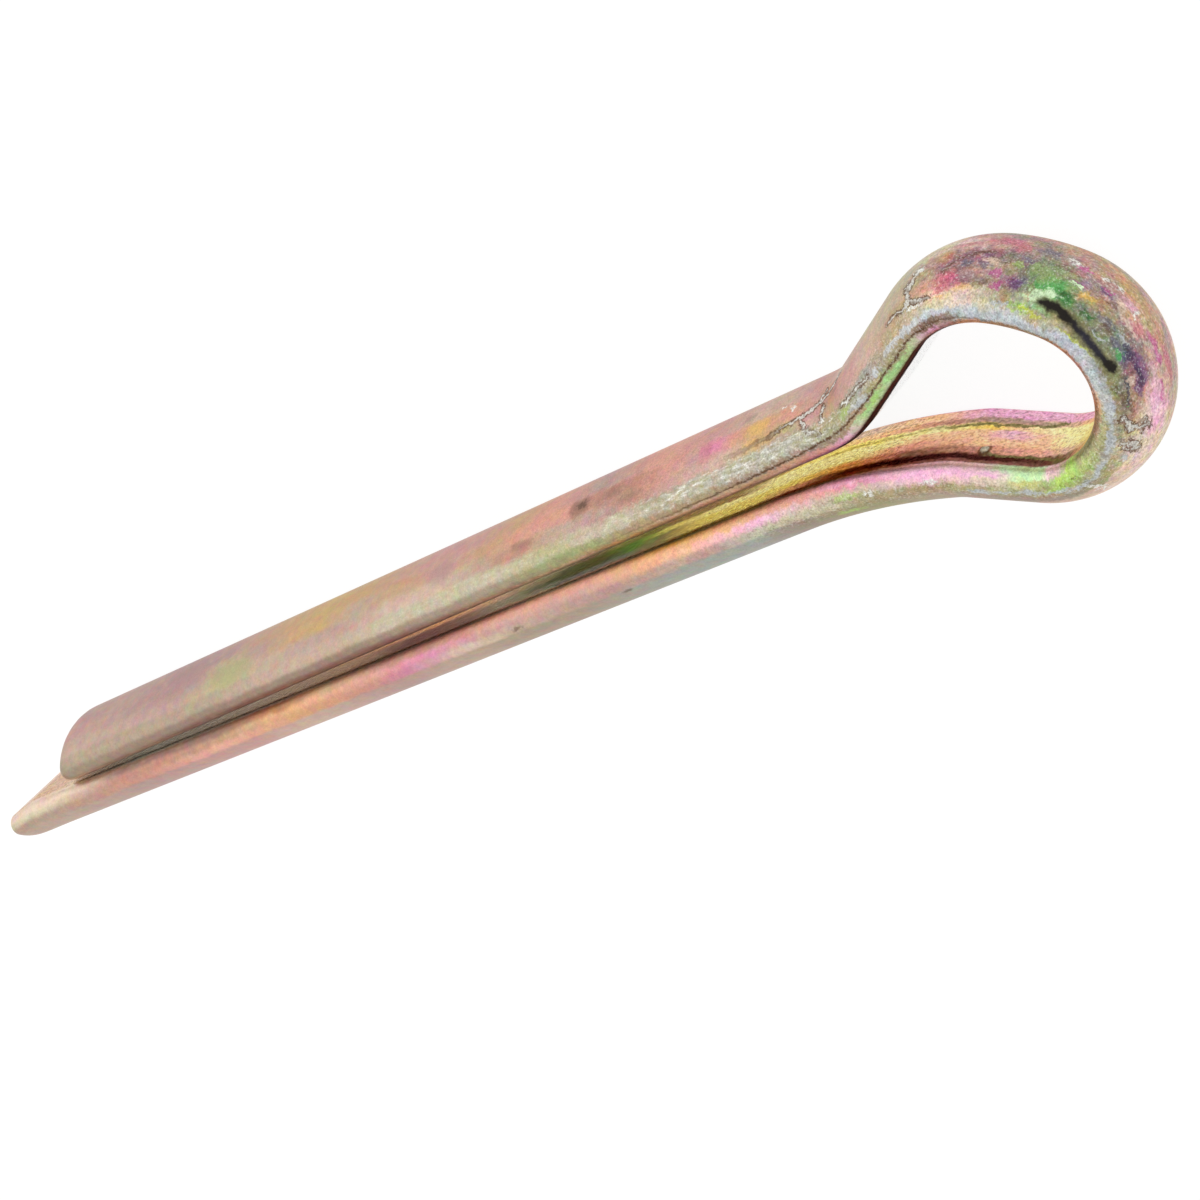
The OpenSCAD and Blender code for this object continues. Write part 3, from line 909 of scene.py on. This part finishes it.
# %% [markdown]
# ## The cracks
#
# The longest crack climbs the neck of the short leg, with branches. Others lie where the eye
# begins and where it ends. Crumbs and patches are two more noises: crumbs fray an edge, and
# patches break a line up, so that a crack comes and goes.

# %% Cracked plate
crumbs = noise(unbent, 14.0, 3.0, 0.6)
patches = noise(unbent, 4.0, 3.0, 0.6)
cracks = trail((36.4, 1.95), (38.0, 1.85), (39.38, 1.66), (40.0, 1.55), (40.55, 1.4), (41.43, 1.03),
               (42.2, 0.78))
for branch in (((40.35, 1.45), (40.8, 1.0)), ((39.6, 1.8), (39.8, 2.2), (40.3, 2.5)),
               ((40.5, 2.1), (40.68, 1.61)), ((42.0, 2.22), (42.9, 2.38), (43.6, 2.48)),
               ((46.4, 0.75), (46.1, 1.3), (46.0, 1.9), (46.6, 2.1)), ((45.4, 1.9), (46.0, 2.0)),
               ((52.7, 2.3), (52.95, 2.0), (53.0, 1.3)), ((53.3, 2.25), (53.45, 1.5))):
    cracks = cracks.below(trail(*branch))
worn_crack = cracks + (crumbs - 0.5) * 0.14
ridge = (step_up(worn_crack, 0.065, 0.02) * step_up(along, 38.2, 39.4, 0.1, 1.0)
         * step_up(patches, 0.36, 0.5, 0.4, 1.0))
gully = (step_up(worn_crack, 0.14, 0.08) * step_up(patches, 0.64, 0.46, 0.6, 1.0)
         * step_up(along, 36.5, 39.0, 0.35, 1.0))
film_and_painted_light = over(film_and_painted_light, "bark", gully * 0.9)
film_and_painted_light = over(film_and_painted_light, "chalk", ridge * 0.75)

scratch = trail((46.9, 1.35), (47.1, 1.13), (47.28, 0.88), (47.53, 0.66), (47.9, 0.62)).below(
    trail((48.05, 1.0), (48.35, 1.0)))
film_and_painted_light = over(film_and_painted_light, "bark", step_up(scratch + (crumbs - 0.5) * 0.1, 0.07, 0.02) * 0.6)
so_far("cracks")

# %% [markdown]
# ## The rubbed line and the dark line
#
# Where the crown turns over to the lip the wire touches whatever it lies against, so a line of
# film is rubbed through to pale zinc, in streaks drawn out along the wire. A noise stretched
# along the wire makes them. Beside it runs a fine dark line, a seam from drawing the wire.

# %% Rubbed line and dark line
streaks = noise(vector(along * 0.45, around * 1.5, across), 5.0, 4.0, 0.68)
rubbed = between(q, 2.12, 2.74, 0.14) * between(along, 19.0, 42.0, 1.5)
rubbed = rubbed * step_up(along, 30.0, 35.0, 0.2, 1.0)
film_and_painted_light = over(film_and_painted_light, "lead", rubbed * step_up(patches, 0.38, 0.58) * 0.5)
film_and_painted_light = over(film_and_painted_light, "moss", rubbed * step_up(streaks, 0.49, 0.36) * 0.6)
film_and_painted_light = over(film_and_painted_light, "chalk", rubbed * step_up(streaks, 0.50, 0.64)
            * step_up(patches, 0.62, 0.40, 0.25, 1.0) * 0.85)
groove = trail((30.0, 3.0), (36.0, 2.95), (39.0, 2.87), (40.3, 2.76), (41.5, 2.76), (43.0, 2.89),
               (45.4, 2.92), (46.8, 2.9), (48.5, 3.08), (53.0, 3.12),
               place=(line_s, around + quick_q * 0.16 + fast_q * 0.1))
groove = groove + (crumbs - 0.5) * 0.05
dark_line = (step_up(groove, 0.065, 0.01) * step_up(along, 30.0, 38.0, 0.2, 1.0)
             * step_up(along, 49.0, 46.0, 0.35, 1.0))
film_and_painted_light = over(film_and_painted_light, "bark", dark_line * step_up(patches, 0.34, 0.5, 0.45, 0.95))
film_and_painted_light = over(film_and_painted_light, "chalk", white * step_up(crumbs, 0.36, 0.5) * 0.95)
so_far("rubbed line")

# %% [markdown]
# ## Grooves on the flat
#
# Drawing the wire left two fine seams along its flat, which show as olive lines in the eye. The
# nodule that stands beside them, shaped with the wire, has a painted highlight on its top and
# painted shade round its foot.

# %% Grooves of the flat
lifted = trail((55.2, 3.72), (55.8, 4.02), (56.8, 4.08), (57.8, 4.12), place=(s, flat_place))
nodule = trail((57.9, 2.60), (57.94, 2.60), place=(along, (FLAT_MIDDLE - across) * 0.6))
scored = trail((56.0, 6.5), (56.3, 6.2), (57.6, 6.05), (60.5, 6.0), (62.5, 5.9), (64.5, 5.75),
               place=(s, flat_place))
on_flat = step_up(side, 3.45, 3.6) * step_up(along, 54.0, 54.8)
film_and_painted_light = over(film_and_painted_light, "olive", on_flat * step_up(lifted + (crumbs - 0.5) * 0.2, 0.12, 0.04) * 0.8)
# Painted shade: a dark ring round the nodule's foot.
film_and_painted_light = over(film_and_painted_light, "bark", on_flat * step_up(nodule + (crumbs - 0.5) * 0.06, 0.22, 0.17) * 0.75)
# Painted highlight: the nodule's top is pale.
film_and_painted_light = over(film_and_painted_light, "pearl", on_flat * step_up(nodule + (crumbs - 0.5) * 0.06, 0.14, 0.09))
film_and_painted_light = over(film_and_painted_light, "olive", on_flat * step_up(scored + (crumbs - 0.5) * 0.2, 0.13, 0.05)
            * step_up(along, 61.0, 59.0, 0.4, 0.9))
so_far("grooves")

# %% [markdown]
# ## Speckle
#
# Single crystals of the plate stay bare or dark, so the eye and the rubbed shoulders are finely
# speckled. The crumbs noise has both: its tops are chalked and its hollows browned.

# %% Speckle
speckled = (on_eye + between(film_q, 2.1, 2.95, 0.15) * between(along, 36.0, 67.0, 2.0)).below(1.0)
film_and_painted_light = over(film_and_painted_light, "chalk", speckled * step_up(crumbs, 0.52, 0.72) * 0.45)
film_and_painted_light = over(film_and_painted_light, "bark", speckled * step_up(crumbs, 0.48, 0.30) * 0.42)
so_far("speckle")

# %% [markdown]
# ## Soot
#
# One drop of the bath burnt on in the eye: a black streak with a ragged edge and a brown rim.

# %% Soot streak
burnt = trail((49.5, 1.98), (49.95, 2.02), (50.38, 2.19), (50.8, 2.27), (51.2, 2.31), (51.55, 2.2),
              place=(along + quick_s * 0.3 + fast_s * 0.1, around + quick_q * 0.25 + fast_q * 0.1))
burnt = burnt - ovals((49.95, 2.0, 0.3, 0.3), (51.5, 2.2, 0.16, 0.2)) * 0.05
film_and_painted_light = over(film_and_painted_light, "olive", step_up(burnt, 0.32, 0.10) * 0.7)
soot = step_up(burnt, 0.20, 0.03)
film_and_painted_light = over(film_and_painted_light, lane("49.5 soot, 50.2 soot, 50.6 coal, 51.1 coal, 51.4 soot, 52 soot", along), soot)
so_far("soot")

# %% [markdown]
# ## Grain
#
# Plate grows as crystals, so its surface is a fine orange peel, and it is coarser in the eye.
# The same peel raises the surface, and it is painted into the colour too, as painted shade:
# its tops lighter and its hollows darker, which is what makes it readable in even light. Plated
# steel is metal all through, so Metallic is 1 but for soot, bloom and lifted plate. On the flats
# the mirrored light takes the film's colour too, set by Specular Tint.

# %% Grain and shine
peel = noise(unbent, 6.5, 3.0, 0.62)
fine = noise(unbent, 17.0, 2.0, 0.6)
rough_part = (on_eye + step_up(side, 2.2, 2.6) * 0.4 + on_flat).clipped()
sharp = near_eye * 0.55 + 0.45
tops = (peel - 0.5) * (rough_part * 0.9 + on_flat * 0.9 + 0.5) + (fine - 0.5) * 1.0
# Painted shade of the peel: the colour is lighter on its tops and darker in its hollows.
painted_peel_shade = tops * sharp * 0.9 + 1.0
film_and_painted_light = over(film_and_painted_light, vector(painted_peel_shade, painted_peel_shade, painted_peel_shade), 1.0, "MULTIPLY")
coat.links.new(film_and_painted_light, shader.inputs["Base Color"])
sheen = over((1.0, 1.0, 1.0, 1.0), film_and_painted_light, step_up(side, 3.4, 3.6, 0.3, 1.0))
coat.links.new(sheen, shader.inputs["Specular Tint"])
bare = (ridge + white + soot).clipped()
feed(coat, shader.inputs["Metallic"], 1.0 - bare * 0.7)
in_gap = step_up(side, 3.45, 3.6) * (step_up(along, 42.0, 38.0) + step_up(along, 59.0, 63.0))
rough = rubbed * 0.12 + 0.40 + bare * 0.25 + (peel - 0.5) * 0.15 - glare * 0.3 - in_gap * 0.24
feed(coat, shader.inputs["Roughness"], rough)
height = (peel - 0.5) * (rough_part * 0.010 + on_flat * 0.022 + 0.006) + (fine - 0.5) * 0.004
relief = node(coat, "ShaderNodeBump", {"Strength": 1.0, "Distance": 1.0, "Height": height * MM})
coat.links.new(relief.outputs[0], shader.inputs["Normal"])
so_far("finish")

# %% [markdown]
# ## Bending the wire
#
# The tree is put on an empty object as a modifier, its inputs are set by their identifiers, and
# the result is taken off as a plain mesh. That mesh rides the pin's only body and stands in for
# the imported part, which is of the same size but has no room in its few faces for a finish.

# %% Bending the wire
maker = bpy.data.objects.new("wire maker", bpy.data.meshes.new("nothing"))
bpy.context.scene.collection.objects.link(maker)
bending = maker.modifiers.new("bend", "NODES")
bending.node_group = bent_wire_tree
by_name = {socket.name: socket.identifier for socket in bent_wire_tree.interface.items_tree
           if socket.in_out == "INPUT"}
bending[by_name["Tip place"]] = (*tip_place[:2], 0.0)
bending[by_name["Finish"]] = plating
evaluated = maker.evaluated_get(bpy.context.evaluated_depsgraph_get())
wire = bpy.data.objects.new("bent_wire", bpy.data.meshes.new_from_object(evaluated))
wire.data.name = "bent wire"
bpy.data.objects.remove(maker)
bpy.context.scene.collection.objects.link(wire)
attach(wire, "root")
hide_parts("cotter_pin")
print("wire:", len(wire.data.polygons), "faces, each with its place along and around the wire")

# %% [markdown]
# ## The paper
#
# The pin lies on white paper that is seen, and mirrored in the plating, as white. Paper lit
# until it looked white would throw too much light back on the metal. So for camera, glossy and
# transmission rays most of it glows, and for all other light it stays plain matt paper. The
# part that doesn't glow keeps the pin's shadow.

# %% White paper
PAPER_HALF, PAPER_TONE, GLOWING = 1.5, 0.93, 0.82
paper_z = pin_low.z - 0.02 * MM
corners = [(PAPER_HALF * x, PAPER_HALF * y, paper_z) for x, y in ((-1, -1), (1, -1), (1, 1), (-1, 1))]
floor_mesh = bpy.data.meshes.new("floor")
floor_mesh.from_pydata(corners, [], [(0, 1, 2, 3)])
floor = bpy.data.objects.new("floor", floor_mesh)
bpy.context.scene.collection.objects.link(floor)
paper = bpy.data.materials.new("white paper")
paper.use_nodes = True
sheet = paper.node_tree
matt = sheet.nodes["Principled BSDF"]
matt.inputs["Base Color"].default_value = (PAPER_TONE, PAPER_TONE, PAPER_TONE, 1)
matt.inputs["Roughness"].default_value = 0.9
matt.inputs["Specular IOR Level"].default_value = 0.0
glow = node(sheet, "ShaderNodeEmission", {"Strength": 1.1})
rays = node(sheet, "ShaderNodeLightPath")
seen = Term(sheet, rays.outputs["Is Camera Ray"]) * GLOWING
mirrored = Term(sheet, rays.outputs["Is Glossy Ray"]).above(rays.outputs["Is Transmission Ray"])
shown = node(sheet, "ShaderNodeMixShader",
             {0: seen.above(mirrored * GLOWING), 1: matt.outputs[0], 2: glow.outputs[0]})
sheet.links.new(shown.outputs[0], sheet.nodes["Material Output"].inputs["Surface"])
floor.data.materials.append(paper)
floor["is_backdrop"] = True
print(f"paper at z {paper_z / MM:.2f} mm, under the pin's lowest point at {pin_low.z / MM:.2f} mm")

# %% [markdown]
# ## The light
#
# Bright metal shows what is round it, so an even white room does most of the work. One soft
# lamp from the upper left shapes the legs and lays the shadow. Three lamps would leave three
# shadows and wash the film's colours out.

# %% Room and lamp
world = bpy.data.worlds.new("soft white room")
bpy.context.scene.world = world
world.use_nodes = True
room = world.node_tree
room_rays = node(room, "ShaderNodeLightPath")
feed(room, room.nodes["Background"].inputs["Strength"],
     Term(room, room_rays.outputs["Is Camera Ray"]) * 0.1 + 0.9)
room.nodes["Background"].inputs["Color"].default_value = (1, 1, 1, 1)

def soft_box(name, towards, distance, size, power):
    """A square lamp that faces the pin from one side."""
    box = bpy.data.lights.new(name, "AREA")
    box.shape, box.size, box.energy = "SQUARE", size, power
    lamp = bpy.data.objects.new(name, box)
    bpy.context.scene.collection.objects.link(lamp)
    aim = Vector(towards).normalized()
    facing = aim.to_track_quat("Z", "Y").to_matrix().to_4x4()
    lamp.matrix_world = Matrix.Translation(aim * distance) @ facing
    return lamp

key = soft_box("key", (-0.55, 0.6, 0.6), distance=0.4, size=0.6, power=0.35)
print(f"{key.name} lamp: {key.data.energy:.2f} W from {key.location.length:.2f} m away")

# %% [markdown]
# ## The camera
#
# A pin as small as this is looked at from about a hand's width away, which is why its eye looks
# so much larger than its tips. The camera looks down on the pin from beyond the eye, and it is
# rolled so that the shank runs uphill. Everything stays in focus.

# %% Camera
CAMERA_SIDE = Vector((0.85588, 0.30099, 1.0))
CAMERA_AWAY, CAMERA_ROLL, FOCAL_IN_FRAMES = 104.897, 0.57693, 2.72259
MIDDLE_TO_LEFT, MIDDLE_BELOW = 8.29568, 5.26254
toward = CAMERA_SIDE.normalized()
level_up = (Vector((0, 1, 0)) - toward * toward.y).normalized()
level_right = level_up.cross(toward)
right = level_right * math.cos(CAMERA_ROLL) - level_up * math.sin(CAMERA_ROLL)
up = level_right * math.sin(CAMERA_ROLL) + level_up * math.cos(CAMERA_ROLL)
camera_data = bpy.data.cameras.new("camera")
camera_data.sensor_width = 36.0
camera_data.lens = camera_data.sensor_width * FOCAL_IN_FRAMES
camera_data.clip_start = 0.005
camera = bpy.data.objects.new("camera", camera_data)
bpy.context.scene.collection.objects.link(camera)
where = (toward * CAMERA_AWAY - right * MIDDLE_TO_LEFT - up * MIDDLE_BELOW) * MM
camera.matrix_world = Matrix.Translation(where) @ Matrix((right, up, toward)).transposed().to_4x4()
bpy.context.scene.camera = camera
bpy.context.scene.view_settings.view_transform = "Standard"
print(f"camera {CAMERA_AWAY:.0f} mm away, lens {camera_data.lens:.0f} mm on a 36 mm sensor")

# %% [markdown]
# ## Sizes
#
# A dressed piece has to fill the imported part's box, neither more nor less. So the box of
# everything is measured again and kept beside the first one.

# %% Sizes before and after
whole_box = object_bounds()
for title, (low, high) in (("part", part_box), ("dressed", whole_box)):
    print(title, "box, mm:", [round(v / MM, 3) for v in (*low, *high)])
